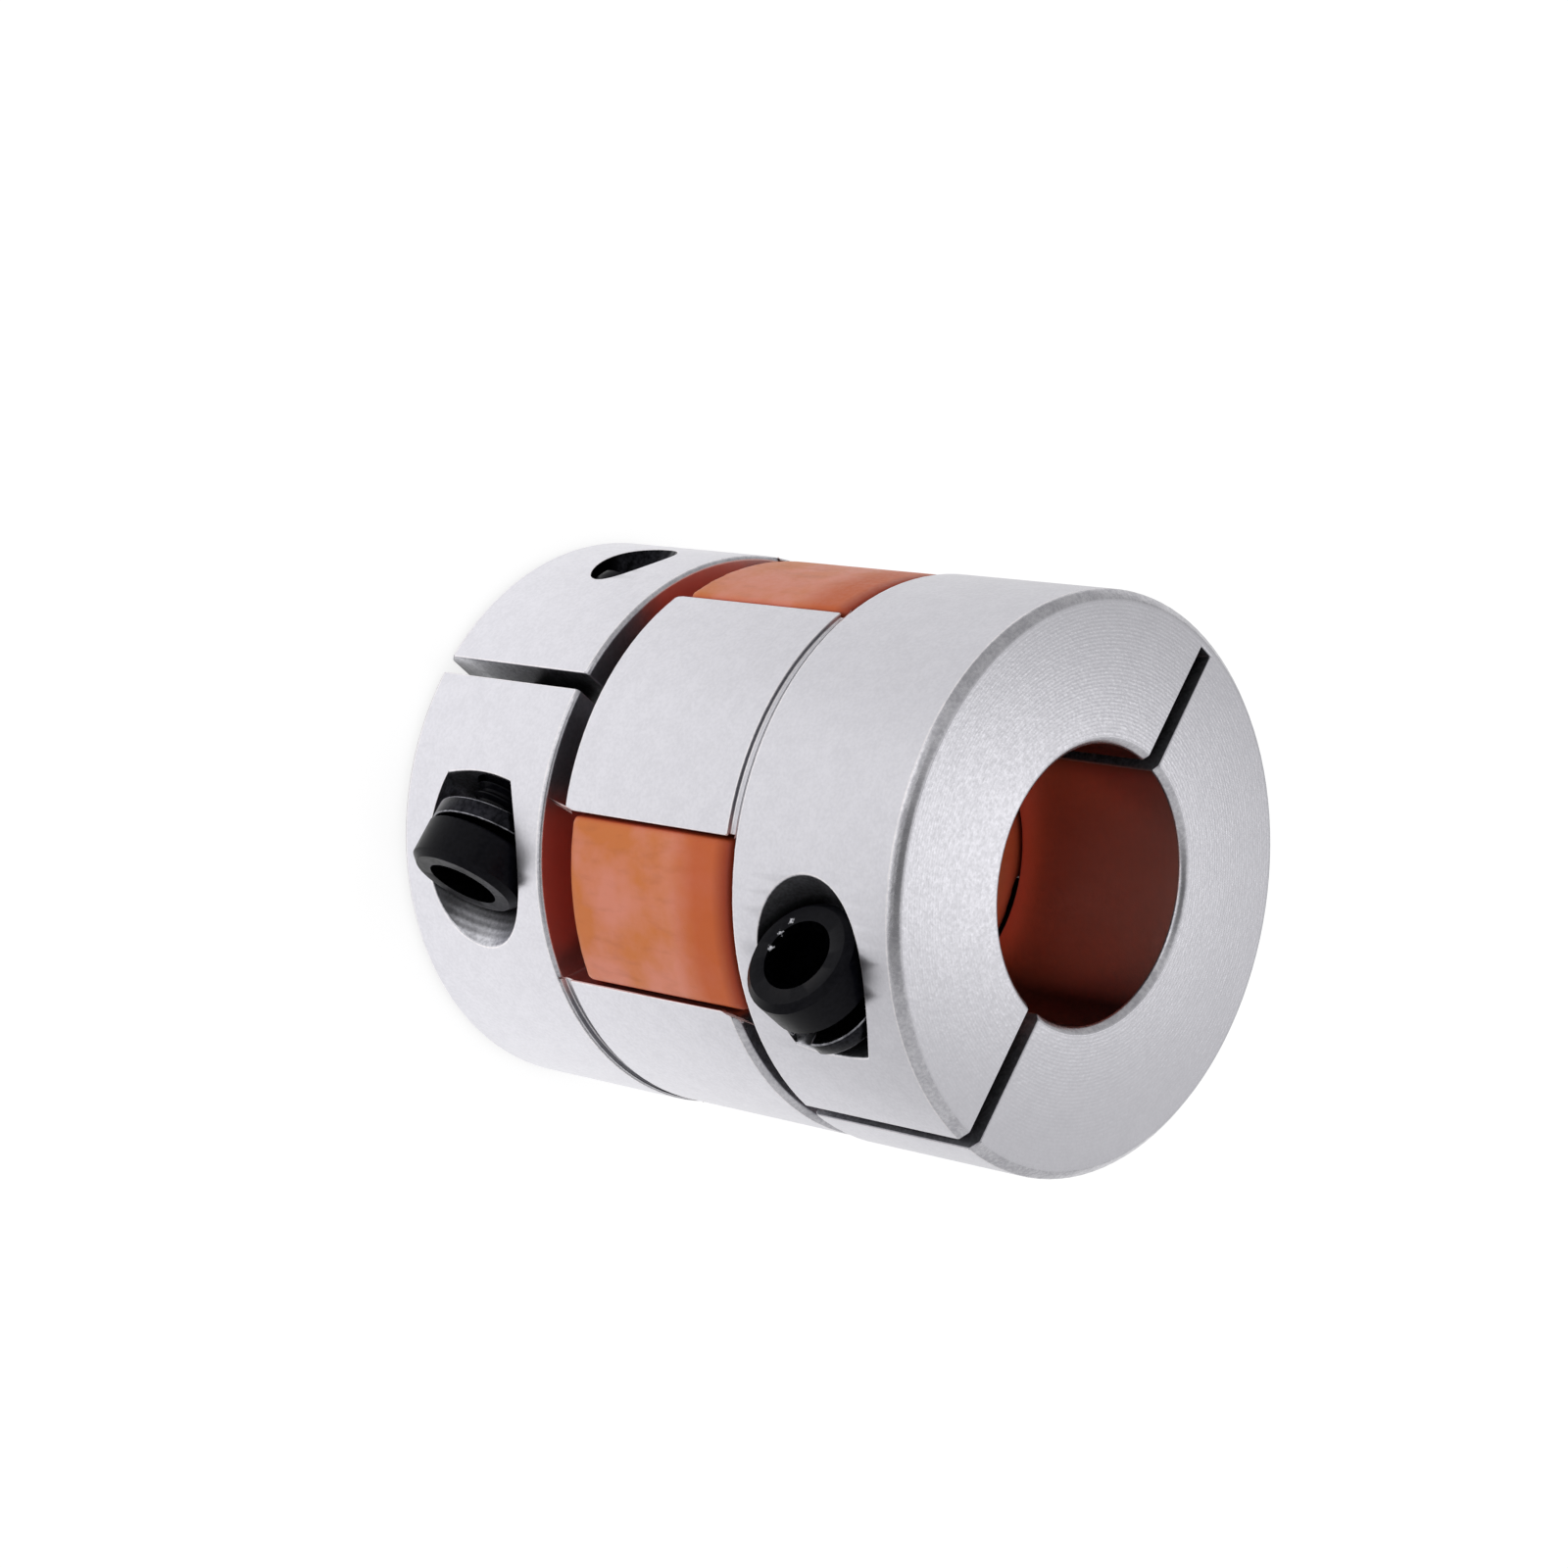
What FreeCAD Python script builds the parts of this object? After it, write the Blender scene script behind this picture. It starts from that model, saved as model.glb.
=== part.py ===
# Jaw coupling for two 12 mm shafts: two slit clamp hubs, a four-legged cushion
# between their jaws, and a socket head screw with a lock washer in each hub.
import FreeCAD, Part
import math
import os

import Sketcher

V = FreeCAD.Vector
os.makedirs("parts", exist_ok=True)
doc = FreeCAD.newDocument("JawCoupling")


# Driving sizes, in millimetres and degrees

SIZES = [
    ("coupling_length", 30.0, "from one hub's outer face to the other's"),
    ("hub_diameter", 25.0, "outside of the clamp rings"),
    ("ring_length", 9.2, "length of each clamp ring along the shaft"),
    ("bore_diameter", 12.0, "shaft bore"),
    ("rim_chamfer", 0.4, "chamfer round the outer face"),
    ("back_chamfer", 0.15, "broken edges on the jaw side of the ring"),
    ("bore_chamfer", 0.25, "lead-in of the bore"),
    ("jaw_undercut", 0.1, "by which the jaws' outside lies under the ring's"),
    ("jaw_relief", 0.6, "by which the jaws' inside stands back from the bore"),
    ("jaw_outer_angle", 53.5, "angle that a jaw fills at its outside"),
    ("jaw_inner_angle", 47.5, "angle that a jaw fills at its inside"),
    ("flank_radius", 12.0, "hollow of the jaw flanks"),
    ("jaw_tip_gap", 1.05, "from a jaw's tip to the other ring"),
    ("jaw_tip_chamfer", 0.23, "chamfer round the jaw tips"),
    ("jaw_corner_round", 0.6, "rounding where tip and flank meet"),
    ("groove_width", 0.5, "turned groove at the foot of the jaws"),
    ("groove_depth", 0.2, "depth of that groove"),
    ("slit_width", 0.8, "saw slit across the ring"),
    ("slit_web", 0.7, "wall left at the blind end of the slit"),
    ("screw_depth", 3.07, "from the hub's outside in to the screw's axis"),
    ("screw_setback", 4.85, "from the outer face to the screw's axis"),
    ("pocket_diameter", 5.8, "counterbore for the screw head"),
    ("seat_height", 4.85, "from the slit's middle to the rim of the seat"),
    ("seat_dish", 16.0, "slope of the drilled seat"),
    ("clearance_diameter", 3.2, "screw hole from the seat to the slit"),
    ("tapped_diameter", 3.0, "screw hole beyond the slit"),
    ("thread_clearance", 0.05, "all round between screw and tapped hole"),
    ("screw_length", 14.0, "under the head"),
    ("screw_tip_chamfer", 0.4, "at the end of the thread"),
    ("head_diameter", 5.2, "screw head"),
    ("head_height", 2.0, "screw head"),
    ("head_chamfer", 0.3, "chamfer round the top of the head"),
    ("socket_width", 2.5, "hexagon socket across its flats"),
    ("socket_depth", 1.1, "hexagon socket"),
    ("head_stand_off", 2.3, "from the rim of the seat to the underside of the head"),
    ("washer_clearance", 0.1, "all round between screw and lock washer"),
    ("washer_width", 1.0, "radial width of the lock washer's wire"),
    ("washer_thickness", 0.8, "thickness of the lock washer's wire"),
    ("washer_pitch", 1.06, "rise of the relaxed lock washer in a full turn"),
    ("washer_turn", 340.0, "angle from one end of its wire to the other"),
    ("cushion_seat_clearance", 0.05, "from the cushion to the upper ring"),
    ("cushion_play", 1.55, "from the cushion to the lower ring"),
    ("core_clearance", 0.4, "all round from the cushion's core to the jaws"),
    ("core_wall", 1.95, "wall of the core that joins the legs"),
    ("leg_clearance", 0.05, "from a leg to the jaw beside it, and below the jaw's outside"),
    ("leg_round", 0.45, "rounding of the legs' upright edges"),
    ("leg_chamfer", 0.25, "edge break round the ends of the legs"),
]

sheet = doc.addObject("Spreadsheet::Sheet", "Sizes")
for row, (alias, value, meaning) in enumerate(SIZES, start=1):
    sheet.set(f"A{row}", meaning)
    sheet.set(f"B{row}", str(value))
    sheet.setAlias(f"B{row}", alias)
doc.recompute()


# Helpers

def new_body(label):
    body = doc.addObject("PartDesign::Body", label)
    body.Label = label
    return body


def origin_feature(body, role):
    return next(item for item in body.Origin.OriginFeatures if item.Role == role)


def new_sketch(body, name, plane, lift=None):
    """Start a sketch on one of the body's origin planes, raised by an expression."""
    sketch = body.newObject("Sketcher::SketchObject", name)
    sketch.AttachmentSupport = (origin_feature(body, plane), [""])
    sketch.MapMode = "FlatFace"
    if lift is not None:
        sketch.setExpression(".AttachmentOffset.Base.z", lift)
    return sketch


def bind(sketch, constraint, expression):
    sketch.setExpression(f"Constraints[{constraint}]", expression)


def place_point(sketch, geometry, end, x, y):
    """Tie a sketch point to two expressions, measured from the sketch's origin."""
    for axis, kind, expression in ((-2, "DistanceX", x), (-1, "DistanceY", y)):
        value = float(sketch.evalExpression(expression))
        if abs(value) < 1e-9:
            sketch.addConstraint(Sketcher.Constraint("PointOnObject", geometry, end, axis))
        else:
            added = sketch.addConstraint(Sketcher.Constraint(kind, -1, 1, geometry, end, value))
            bind(sketch, added, expression)


def arc_through(start, finish, radius, bulge):
    """Arc between two points, bulging to the left (1) or right (-1) of the way from start to finish."""
    chord = finish - start
    half = chord.Length / 2
    left = V(-chord.y, chord.x, 0).normalize()
    centre = start + chord / 2 - left * bulge * math.sqrt(radius**2 - half**2)
    first, last = (finish, start) if bulge > 0 else (start, finish)
    angles = [math.atan2(point.y - centre.y, point.x - centre.x) for point in (first, last)]
    return Part.ArcOfCircle(Part.Circle(centre, V(0, 0, 1), radius), *angles)


def draw_outline(sketch, corners, bends=None):
    """Closed outline through corners given as pairs of expressions.

    bends maps the number of a side to its radius, an expression, and the way it bulges.
    """
    bends = bends or {}
    points = [V(*(float(sketch.evalExpression(text)) for text in corner), 0) for corner in corners]
    ends = []
    for side, start in enumerate(points):
        finish = points[(side + 1) % len(points)]
        if side in bends:
            radius, bulge = bends[side]
            arc = arc_through(start, finish, float(sketch.evalExpression(radius)), bulge)
            number = sketch.addGeometry(arc, False)
            ends.append((number, 2, 1) if bulge > 0 else (number, 1, 2))
        else:
            number = sketch.addGeometry(Part.LineSegment(start, finish), False)
            ends.append((number, 1, 2))
    for side, (number, first, last) in enumerate(ends):
        following, following_first, _ = ends[(side + 1) % len(ends)]
        sketch.addConstraint(Sketcher.Constraint("Coincident", number, last, following, following_first))
        place_point(sketch, number, first, *corners[side])
        if side in bends:
            radius, _ = bends[side]
            value = float(sketch.evalExpression(radius))
            bind(sketch, sketch.addConstraint(Sketcher.Constraint("Radius", number, value)), radius)


def draw_circle(sketch, radius):
    value = float(sketch.evalExpression(radius))
    number = sketch.addGeometry(Part.Circle(V(0, 0, 0), V(0, 0, 1), value), False)
    sketch.addConstraint(Sketcher.Constraint("Coincident", number, 3, -1, 1))
    bind(sketch, sketch.addConstraint(Sketcher.Constraint("Radius", number, value)), radius)


def turn(body, kind, name, sketch, axis="V_Axis"):
    """Turn a sketch all the way round an axis of its own, adding or cutting."""
    feature = body.newObject(f"PartDesign::{kind}", name)
    feature.Profile = sketch
    feature.ReferenceAxis = (sketch, [axis])
    feature.Angle = 360
    return feature


def extrude(body, kind, name, sketch, length, reverse=False):
    """Pad or pocket a sketch by an expression."""
    feature = body.newObject(f"PartDesign::{kind}", name)
    feature.Profile = sketch
    feature.setExpression("Length", length)
    feature.Reversed = reverse
    return feature


def repeat_round(body, name, feature, count):
    pattern = body.newObject("PartDesign::PolarPattern", name)
    pattern.Originals = [feature]
    pattern.Axis = (origin_feature(body, "Z_Axis"), [""])
    pattern.Angle = 360
    pattern.Occurrences = count
    body.Tip = pattern
    doc.recompute()
    return pattern


def dress_edges(body, kind, name, base, wanted, size):
    """Fillet or chamfer every edge of the base feature for which wanted(edge) holds."""
    names = [f"Edge{number}" for number, edge in enumerate(base.Shape.Edges, start=1) if wanted(edge)]
    feature = body.newObject(f"PartDesign::{kind}", name)
    feature.Base = (base, names)
    feature.setExpression("Radius" if kind == "Fillet" else "Size", size)
    doc.recompute()
    return feature


def distance_from_axis(vertex):
    return math.hypot(vertex.X, vertex.Y)


def is_upright(edge):
    first, last = edge.Vertexes[0], edge.Vertexes[-1]
    return abs(first.Z - last.Z) > 1e-6


def half_width(radius, angle):
    return f"{radius} * sin({angle} / 2 * 1deg)"


def half_length(radius, angle):
    return f"{radius} * cos({angle} / 2 * 1deg)"


# Clamp hub: outer face at z = 0, jaws up and over +Y and -Y, slit open to +X, screw head to +Y

JAW_TIP = "(Sizes.coupling_length - Sizes.ring_length - Sizes.jaw_tip_gap)"
JAW_OUTSIDE = "(Sizes.hub_diameter / 2 - Sizes.jaw_undercut)"
JAW_INSIDE = "(Sizes.bore_diameter / 2 + Sizes.jaw_relief)"
SCREW_OFFSET = "(Sizes.hub_diameter / 2 - Sizes.screw_depth)"


def add_ring(body):
    """Ring that grips the shaft, turned with its chamfers."""
    hub, bore = "Sizes.hub_diameter / 2", "Sizes.bore_diameter / 2"
    sketch = new_sketch(body, "RingSection", "XZ_Plane")
    draw_outline(sketch, [
        (f"{bore} + Sizes.bore_chamfer", "0"),
        (f"{hub} - Sizes.rim_chamfer", "0"),
        (hub, "Sizes.rim_chamfer"),
        (hub, "Sizes.ring_length - Sizes.back_chamfer"),
        (f"{hub} - Sizes.back_chamfer", "Sizes.ring_length"),
        (bore, "Sizes.ring_length"),
        (bore, "Sizes.bore_chamfer"),
    ])
    turn(body, "Revolution", "Ring", sketch)


def add_jaws(body):
    """Two jaws with hollow flanks, starting inside the ring."""
    outer_x = half_width(JAW_OUTSIDE, "Sizes.jaw_outer_angle")
    outer_y = half_length(JAW_OUTSIDE, "Sizes.jaw_outer_angle")
    inner_x = half_width(JAW_INSIDE, "Sizes.jaw_inner_angle")
    inner_y = half_length(JAW_INSIDE, "Sizes.jaw_inner_angle")
    sketch = new_sketch(body, "JawSection", "XY_Plane", lift="Sizes.ring_length / 2")
    draw_outline(
        sketch,
        [(outer_x, outer_y), (f"-({outer_x})", outer_y), (f"-({inner_x})", inner_y), (inner_x, inner_y)],
        bends={
            0: (JAW_OUTSIDE, -1),
            1: ("Sizes.flank_radius", 1),
            2: (JAW_INSIDE, 1),
            3: ("Sizes.flank_radius", 1),
        },
    )
    jaw = extrude(body, "Pad", "Jaw", sketch, f"{JAW_TIP} - Sizes.ring_length / 2")
    jaws = repeat_round(body, "BothJaws", jaw, 2)
    tip = jaws.Shape.BoundBox.ZMax

    def runs_out_along_tip(edge):
        first, last = edge.Vertexes[0], edge.Vertexes[-1]
        at_tip = abs(first.Z - tip) < 1e-6 and abs(last.Z - tip) < 1e-6
        return at_tip and abs(distance_from_axis(first) - distance_from_axis(last)) > 1

    dress_edges(body, "Fillet", "JawCorners", jaws, runs_out_along_tip, "Sizes.jaw_corner_round")


def turn_jaws(body):
    """Chamfer round the jaw tips and groove at their foot."""
    jaw = JAW_OUTSIDE
    tip = new_sketch(body, "TipChamferSection", "XZ_Plane")
    draw_outline(tip, [
        (f"{jaw} - Sizes.jaw_tip_chamfer", JAW_TIP),
        (jaw, f"{JAW_TIP} - Sizes.jaw_tip_chamfer"),
        (f"{jaw} + Sizes.jaw_tip_chamfer", JAW_TIP),
    ])
    turn(body, "Groove", "TipChamfer", tip)
    foot = new_sketch(body, "FootGrooveSection", "XZ_Plane")
    draw_outline(foot, [
        (f"{jaw} - Sizes.groove_depth", "Sizes.ring_length"),
        ("Sizes.hub_diameter / 2", "Sizes.ring_length"),
        ("Sizes.hub_diameter / 2", "Sizes.ring_length + Sizes.groove_width"),
        (f"{jaw} - Sizes.groove_depth", "Sizes.ring_length + Sizes.groove_width"),
    ])
    turn(body, "Groove", "FootGroove", foot)


def cut_slit(body):
    """Saw slit across the ring, through one side and blind on the other."""
    blind = "-(Sizes.hub_diameter / 2 - Sizes.slit_web)"
    through = "Sizes.hub_diameter / 2 + Sizes.slit_width"
    half = "Sizes.slit_width / 2"
    sketch = new_sketch(body, "SlitSection", "XY_Plane")
    draw_outline(sketch, [(blind, f"-{half}"), (through, f"-{half}"), (through, half), (blind, half)])
    extrude(body, "Pocket", "Slit", sketch, "Sizes.ring_length", reverse=True)


def bore_screw_hole(body):
    """Counterbore with a drilled seat, clearance hole down to the slit and tapped hole beyond it."""
    axis = SCREW_OFFSET
    pocket = f"{axis} + Sizes.pocket_diameter / 2"
    clear = f"{axis} + Sizes.clearance_diameter / 2"
    tapped = f"{axis} + Sizes.tapped_diameter / 2"
    outside = "Sizes.hub_diameter / 2"
    drop = "(Sizes.pocket_diameter - Sizes.clearance_diameter) / 2 * tan(Sizes.seat_dish * 1deg)"
    sketch = new_sketch(body, "ScrewHoleSection", "XY_Plane", lift="Sizes.screw_setback")
    draw_outline(sketch, [
        (axis, outside),
        (pocket, outside),
        (pocket, "Sizes.seat_height"),
        (clear, f"Sizes.seat_height - {drop}"),
        (clear, "0"),
        (tapped, "0"),
        (tapped, f"-{outside}"),
        (axis, f"-{outside}"),
    ])
    number = sketch.addGeometry(Part.LineSegment(V(1, -1, 0), V(1, 1, 0)), True)
    place_point(sketch, number, 1, axis, f"-{outside}")
    place_point(sketch, number, 2, axis, outside)
    turn(body, "Groove", "ScrewHole", sketch, axis="Axis0")


def make_hub(label):
    body = new_body(label)
    add_ring(body)
    add_jaws(body)
    turn_jaws(body)
    cut_slit(body)
    bore_screw_hole(body)
    return body


# Cushion: flat on z = 0, a ring with four legs that fill the spaces between the jaws

CUSHION_THICKNESS = (
    "(Sizes.coupling_length - 2 * Sizes.ring_length - Sizes.cushion_seat_clearance - Sizes.cushion_play)"
)


def make_cushion(label):
    body = new_body(label)
    core_outside = f"({JAW_INSIDE} - Sizes.core_clearance)"
    core = new_sketch(body, "CoreSection", "XY_Plane")
    draw_circle(core, core_outside)
    draw_circle(core, f"{core_outside} - Sizes.core_wall")
    extrude(body, "Pad", "Core", core, CUSHION_THICKNESS)

    outer = f"({JAW_OUTSIDE} - Sizes.leg_clearance)"
    gap_outer, gap_inner = "(90 - Sizes.jaw_outer_angle)", "(90 - Sizes.jaw_inner_angle)"
    outer_y = f"{half_width(outer, gap_outer)} - Sizes.leg_clearance"
    outer_x = f"sqrt({outer}^2 - ({outer_y})^2)"
    inner_y = f"{half_width(JAW_INSIDE, gap_inner)} - Sizes.leg_clearance"
    inner_x = half_length(JAW_INSIDE, gap_inner)
    root_x = f"{core_outside} - Sizes.core_wall / 2"
    leg = new_sketch(body, "LegSection", "XY_Plane")
    leg.AttachmentOffset = FreeCAD.Placement(V(0, 0, 0), FreeCAD.Rotation(V(0, 0, 1), 45))
    draw_outline(
        leg,
        [
            (root_x, f"-({inner_y})"),
            (inner_x, f"-({inner_y})"),
            (outer_x, f"-({outer_y})"),
            (outer_x, outer_y),
            (inner_x, inner_y),
            (root_x, inner_y),
        ],
        bends={
            1: ("Sizes.flank_radius", -1),
            2: (outer, -1),
            3: ("Sizes.flank_radius", -1),
        },
    )
    legs = repeat_round(body, "FourLegs", extrude(body, "Pad", "Leg", leg, CUSHION_THICKNESS), 4)
    reach = max(distance_from_axis(vertex) for vertex in legs.Shape.Vertexes)

    def is_upright_corner(edge):
        return all(distance_from_axis(vertex) > reach - 1e-6 for vertex in edge.Vertexes) and is_upright(edge)

    def borders_leg_end(edge):
        far = max(distance_from_axis(vertex) for vertex in edge.Vertexes)
        return far > reach - 2 * rounded.Radius.Value and not is_upright(edge)

    rounded = dress_edges(body, "Fillet", "LegCorners", legs, is_upright_corner, "Sizes.leg_round")
    dress_edges(body, "Chamfer", "LegEndEdges", rounded, borders_leg_end, "Sizes.leg_chamfer")
    return body


# Clamp screw: underside of the head at z = 0, head up, thread down

def make_screw(label):
    body = new_body(label)
    thread = "Sizes.tapped_diameter / 2 - Sizes.thread_clearance"
    head = "Sizes.head_diameter / 2"
    section = new_sketch(body, "ScrewSection", "XZ_Plane")
    draw_outline(section, [
        ("0", "-Sizes.screw_length"),
        (f"{thread} - Sizes.screw_tip_chamfer", "-Sizes.screw_length"),
        (thread, "-Sizes.screw_length + Sizes.screw_tip_chamfer"),
        (thread, "0"),
        (head, "0"),
        (head, "Sizes.head_height - Sizes.head_chamfer"),
        (f"{head} - Sizes.head_chamfer", "Sizes.head_height"),
        ("0", "Sizes.head_height"),
    ])
    turn(body, "Revolution", "Screw", section)

    corner = "Sizes.socket_width / sqrt(3)"
    mouth = new_sketch(body, "SocketMouthSection", "XZ_Plane")
    draw_outline(mouth, [
        ("0", f"Sizes.head_height - {corner} / 2"),
        (corner, "Sizes.head_height"),
        ("0", "Sizes.head_height"),
    ])
    turn(body, "Groove", "SocketMouth", mouth)
    socket = new_sketch(body, "SocketSection", "XY_Plane", lift="Sizes.head_height")
    draw_outline(socket, [(f"{corner} * cos({60 * k}deg)", f"{corner} * sin({60 * k}deg)") for k in range(6)])
    extrude(body, "Pocket", "Socket", socket, "Sizes.socket_depth")
    return body


# Lock washer: one relaxed turn of flat wire round z, lowest end at z = 0

def make_washer(label):
    body = new_body(label)
    inside = "Sizes.tapped_diameter / 2 - Sizes.thread_clearance + Sizes.washer_clearance"
    outside = f"{inside} + Sizes.washer_width"
    wire = new_sketch(body, "WireSection", "XZ_Plane")
    draw_outline(wire, [
        (inside, "0"),
        (outside, "0"),
        (outside, "Sizes.washer_thickness"),
        (inside, "Sizes.washer_thickness"),
    ])
    coil = body.newObject("PartDesign::AdditiveHelix", "Coil")
    coil.Profile = wire
    coil.ReferenceAxis = (wire, ["V_Axis"])
    coil.Mode = "pitch-height-angle"
    coil.setExpression("Pitch", "Sizes.washer_pitch")
    coil.setExpression("Height", "Sizes.washer_pitch * Sizes.washer_turn / 360")
    return body


# Assembly: the shafts' axis is Z, the upper hub is the lower one turned over and a quarter round

def stand(body, turn_to, **place):
    """Turn a body and tie its position to expressions."""
    body.Placement = FreeCAD.Placement(V(0, 0, 0), turn_to)
    for axis, expression in place.items():
        body.setExpression(f".Placement.Base.{axis}", expression)


HEAD_UNDERSIDE = "Sizes.seat_height + Sizes.head_stand_off"
WASHER_FOOT = f"{HEAD_UNDERSIDE} - Sizes.washer_thickness - Sizes.washer_pitch * Sizes.washer_turn / 360"
LOWER_SCREW_Z = "Sizes.screw_setback"
UPPER_SCREW_Z = "Sizes.coupling_length - Sizes.screw_setback"

upper_hub = make_hub("upper_hub")
stand(upper_hub, FreeCAD.Rotation(V(1, 0, 0), 180), z="Sizes.coupling_length")
lower_hub = make_hub("lower_hub")
stand(lower_hub, FreeCAD.Rotation(V(0, 0, 1), -90))

cushion = make_cushion("cushion")
stand(
    cushion,
    FreeCAD.Rotation(),
    z="Sizes.ring_length + Sizes.cushion_play",
)

pieces = [upper_hub, lower_hub, cushion]
for make, name, foot in ((make_screw, "clamp_screw", HEAD_UNDERSIDE), (make_washer, "lock_washer", WASHER_FOOT)):
    upper = make(f"upper_{name}")
    stand(upper, FreeCAD.Rotation(V(1, 0, 0), 90), x=SCREW_OFFSET, y=f"-({foot})", z=UPPER_SCREW_Z)
    lower = make(f"lower_{name}")
    stand(lower, FreeCAD.Rotation(V(0, 1, 0), 90), x=foot, y=f"-{SCREW_OFFSET}", z=LOWER_SCREW_Z)
    pieces += [upper, lower]

doc.recompute()


# Checks and files

for item in doc.Objects:
    if "Invalid" in item.State or "Error" in item.State:
        raise RuntimeError(f"{item.Label} failed: {item.State}")
for piece in pieces:
    if piece.Shape.isNull() or not piece.Shape.isValid() or len(piece.Shape.Solids) != 1:
        raise RuntimeError(f"{piece.Label} isn't one valid solid")

for piece in pieces:
    piece.Shape.exportStep(f"parts/{piece.Label}.step")
    print(piece.Label, round(piece.Shape.Volume, 2), piece.Shape.BoundBox)
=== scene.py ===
import math

import bmesh
import bpy
from mathutils import Matrix, Vector


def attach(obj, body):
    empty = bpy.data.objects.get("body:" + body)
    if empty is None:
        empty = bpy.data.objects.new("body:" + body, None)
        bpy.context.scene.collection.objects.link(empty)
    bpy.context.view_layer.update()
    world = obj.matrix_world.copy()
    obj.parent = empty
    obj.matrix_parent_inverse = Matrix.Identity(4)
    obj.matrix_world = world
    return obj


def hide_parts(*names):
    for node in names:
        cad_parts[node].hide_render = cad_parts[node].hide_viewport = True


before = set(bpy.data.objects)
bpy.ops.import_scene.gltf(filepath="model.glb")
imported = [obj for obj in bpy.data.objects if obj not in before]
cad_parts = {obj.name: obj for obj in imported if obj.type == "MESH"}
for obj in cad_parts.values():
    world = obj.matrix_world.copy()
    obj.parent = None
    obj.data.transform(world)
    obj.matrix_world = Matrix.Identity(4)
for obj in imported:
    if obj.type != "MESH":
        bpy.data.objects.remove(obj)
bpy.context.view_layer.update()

MM = 0.001


# Hubs: the two clamp halves, turned from aluminium bar, their jaws and pockets milled and their
# slits sawn. Each is the frame's own solid with its facets merged, its sharp edges broken as a file
# leaves them, and every kind of machined face given the finish that its tool leaves. Shade is
# painted into their crevices and hollows, a highlight onto the rim's broken edges, and a reflection
# of the cushion's red glow onto the bore and the jaws.

HUBS = {  # outer face, a point on the screw's axis, direction of that axis
    "upper_hub": (30.0, Vector((9.43, 0, 25.15)), Vector((0, 1, 0))),
    "lower_hub": (0.0, Vector((0, -9.43, 4.85)), Vector((1, 0, 0))),
}
OUTSIDE_FROM, BORE_RADIUS, POCKET_RADIUS, TAPPED_RADIUS, HALF_SLIT = 12.1, 6.0, 2.9, 1.5, 0.4
CHAMFER_FROM, BORE_CHAMFER_TO, TIPS_FROM = 12.0, 6.4, 15.0  # two radii, and depth below the face
NEARLY, SQUARE = 0.05, 0.99  # a distance that counts as none, the cosine of a face's least tilt
FACET_GAP, SLIVER, FLAT = 0.025, 0.01, math.radians(0.3)
SHARP_CORNER, BROKEN_EDGE = math.radians(24), 0.08
GLOWING_SIDE = (-0.53, 0.85, 0.0)

# Numbers of the sockets that share a name: those of Map Range, then those of Mix.
VALUE, FROM_LOW, FROM_HIGH, TO_LOW, TO_HIGH = range(5)
FACTOR, NUMBER_A, NUMBER_B, COLOUR_A, COLOUR_B, MIXED_COLOUR = 0, 2, 3, 6, 7, 2


def linear(code):
    """The linear colour of an sRGB hex value."""
    parts = [int(code[i:i + 2], 16) / 255 for i in (0, 2, 4)]
    return tuple(c / 12.92 if c <= 0.04045 else ((c + 0.055) / 1.055) ** 2.4
                 for c in parts) + (1.0,)


def put(tree, kind, sockets=None, **settings):
    """Adds a shader node: settings are its own, and sockets are filled with values or joined."""
    node = tree.nodes.new("ShaderNode" + kind)
    for name, value in settings.items():
        setattr(node, name, value)
    for name, value in (sockets or {}).items():
        if isinstance(value, bpy.types.NodeSocket):
            tree.links.new(value, node.inputs[name])
        else:
            node.inputs[name].default_value = value
    return node


def new_material(name):
    """A material with an empty tree, its tree and the place of each point on the object."""
    material = bpy.data.materials.new(name)
    material.use_nodes = True
    tree = material.node_tree
    tree.nodes.clear()
    return material, tree, put(tree, "TexCoord").outputs["Object"]


def show(name, solid, finishes):
    """Turns a finished bmesh into an object in the scene, with its materials."""
    mesh = bpy.data.meshes.new(name)
    solid.to_mesh(mesh)
    solid.free()
    if "custom_normal" in mesh.attributes:
        mesh.attributes.remove(mesh.attributes["custom_normal"])
    for finish in finishes:
        mesh.materials.append(finish)
    piece = bpy.data.objects.new(name, mesh)
    bpy.context.scene.collection.objects.link(piece)
    return piece


def break_edges(solid, sharp, width):
    """Breaks the edges sharper than an angle, and returns the faces that this leaves there."""
    corners = [e for e in solid.edges if e.is_manifold and e.calc_face_angle(0) > sharp]
    return bmesh.ops.bevel(solid, geom=corners, offset=width * MM, offset_type="OFFSET",
                           affect="EDGES", segments=2, profile=0.5, material=-1)["faces"]


def beside_legs(tree, place):
    """1 where a hub stands beside one of the cushion's four legs, and 0 between them."""
    axes = put(tree, "SeparateXYZ", {0: place}).outputs
    angle = put(tree, "Math", {0: axes["Y"], 1: axes["X"]}, operation="ARCTAN2").outputs[0]
    angle = put(tree, "Math", {0: angle, 1: 4.0}, operation="MULTIPLY").outputs[0]
    wave = put(tree, "Math", {0: angle}, operation="COSINE").outputs[0]
    return put(tree, "MapRange", {VALUE: wave, FROM_LOW: 0.2, FROM_HIGH: -0.5},
               interpolation_type="SMOOTHSTEP").outputs[0]


def glowing_wall(tree, place):
    """1 along the side of the bore where the cushion's glow is painted in as a reflection, and 0
    elsewhere.
    """
    reach = put(tree, "VectorMath", {0: place, 1: GLOWING_SIDE},
                operation="DOT_PRODUCT").outputs["Value"]
    return put(tree, "MapRange", {VALUE: reach, FROM_LOW: 2.6 * MM, FROM_HIGH: 5.4 * MM},
               interpolation_type="SMOOTHSTEP").outputs[0]


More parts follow.
